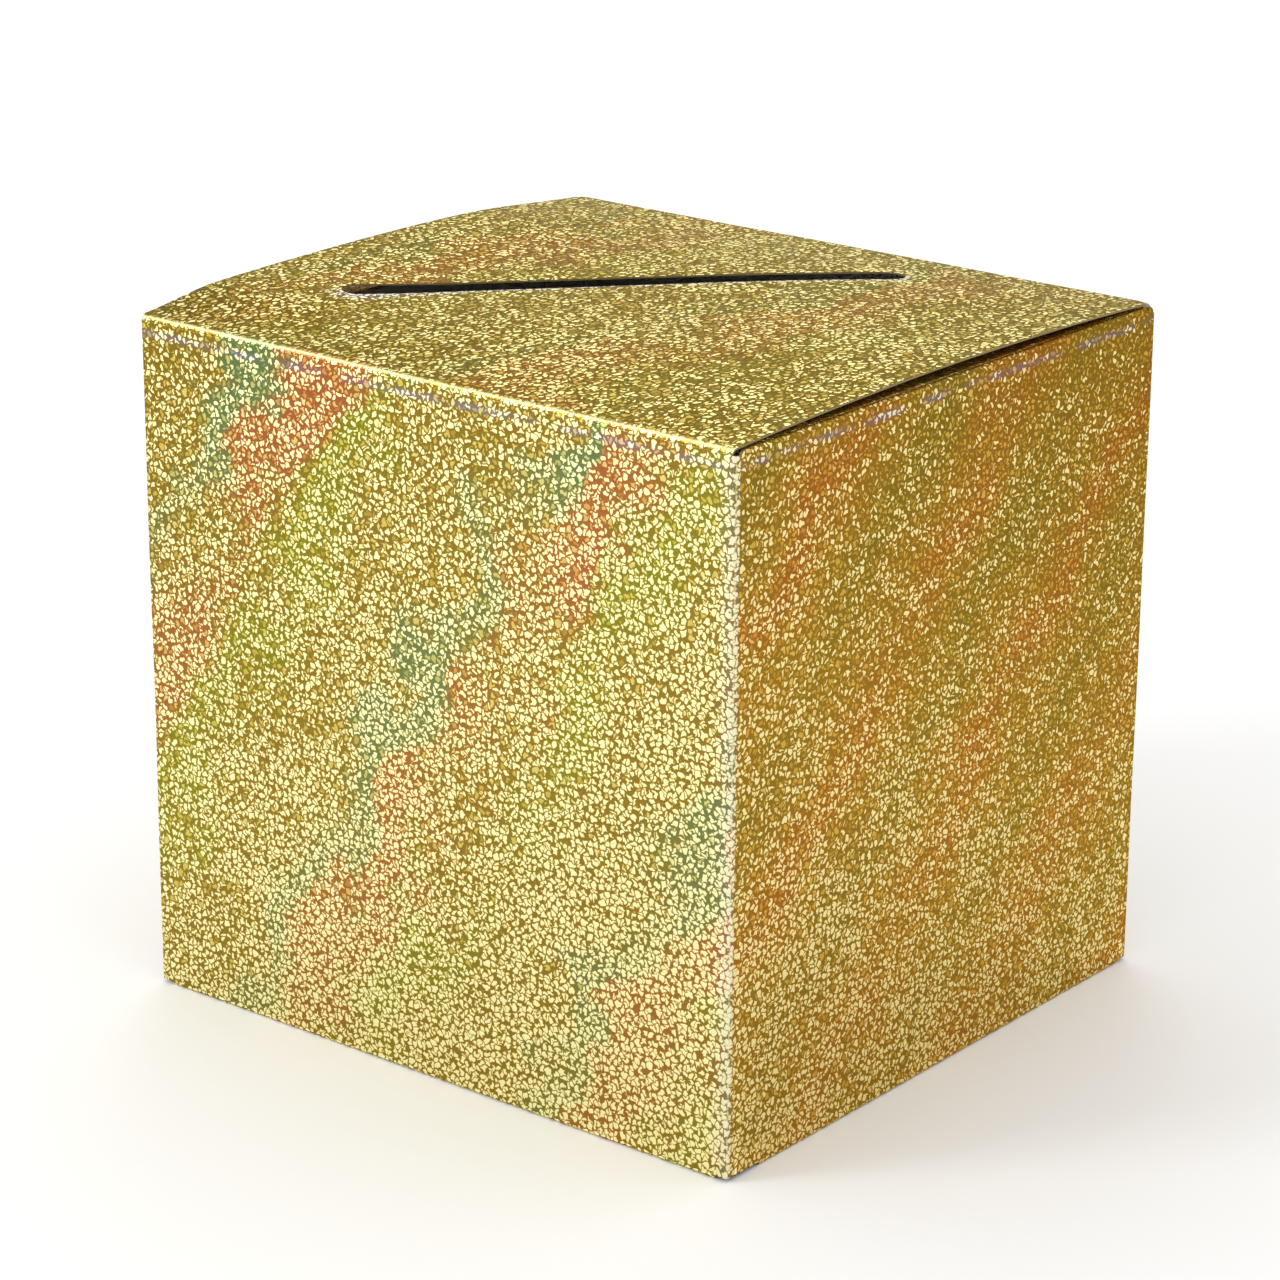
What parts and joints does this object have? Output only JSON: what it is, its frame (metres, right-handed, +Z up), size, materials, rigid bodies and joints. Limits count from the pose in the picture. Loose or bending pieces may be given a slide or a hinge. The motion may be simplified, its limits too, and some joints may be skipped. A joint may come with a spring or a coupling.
{
  "type": "wedding card box",
  "caption": "Near-cube folding carton in gold holographic pebble-pattern board, with a hinged tuck-in lid cut with a long slanting slot for greeting cards.",
  "frame": {"origin": "middle of the footprint, on the surface that the box stands on", "axes": "+Z up; -Y out of the front wall, which carries the lid's hinge; +X out of the right wall"},
  "size_m": [0.237, 0.22, 0.231],
  "materials": {
    "foil_board": "gold holographic foil laminated outside with a pebble pattern, white board inside",
    "seam_glue": "dried white glue film"
  },
  "bodies": {
    "carton": {"wall_front": "foil_board", "wall_back": "foil_board", "wall_left": "foil_board", "wall_right": "foil_board", "fold_front_left": "foil_board", "fold_front_right": "foil_board", "fold_back_right": "foil_board", "fold_back_left": "foil_board", "glue_flap": "foil_board", "lid_crease": "foil_board", "dust_crease_left": "foil_board", "dust_crease_right": "foil_board", "bottom_flap_front": "foil_board", "bottom_flap_left": "foil_board", "bottom_flap_right": "foil_board", "bottom_flap_back": "foil_board", "base_fold_front": "foil_board", "base_fold_back": "foil_board", "base_fold_left": "foil_board", "base_fold_right": "foil_board", "seam_glue": "seam_glue"},
    "lid": {"lid_panel": "foil_board", "tuck_crease": "foil_board"},
    "tuck": {"tuck_flap": "foil_board"},
    "dust_left": {"dust_flap_left": "foil_board"},
    "dust_right": {"dust_flap_right": "foil_board"}
  },
  "joints": [
    {"name": "lid_hinge", "type": "hinge", "parent": "carton", "child": "lid", "pos_m": [0, -0.11, 0.228], "axis": [1, 0, 0], "range_deg": [0, 180], "deforming": ["lid_crease"]},
    {"name": "tuck_fold", "type": "hinge", "parent": "lid", "child": "tuck", "pos_m": [0, 0.1088, 0.228], "axis": [1, 0, 0], "range_deg": [0, 27], "deforming": ["tuck_crease"]},
    {"name": "dust_fold_left", "type": "hinge", "parent": "carton", "child": "dust_left", "pos_m": [-0.1185, 0, 0.227], "axis": [0, -1, 0], "range_deg": [0, 90], "deforming": ["dust_crease_left"]},
    {"name": "dust_fold_right", "type": "hinge", "parent": "carton", "child": "dust_right", "pos_m": [0.1185, 0, 0.227], "axis": [0, 1, 0], "range_deg": [0, 90], "deforming": ["dust_crease_right"]}
  ],
  "couplings": [
    {"joint": "tuck_fold", "follows": "lid_hinge", "ratio": 0.15},
    {"joint": "dust_fold_left", "follows": "lid_hinge", "ratio": 0.5},
    {"joint": "dust_fold_right", "follows": "lid_hinge", "ratio": 0.5}
  ]
}
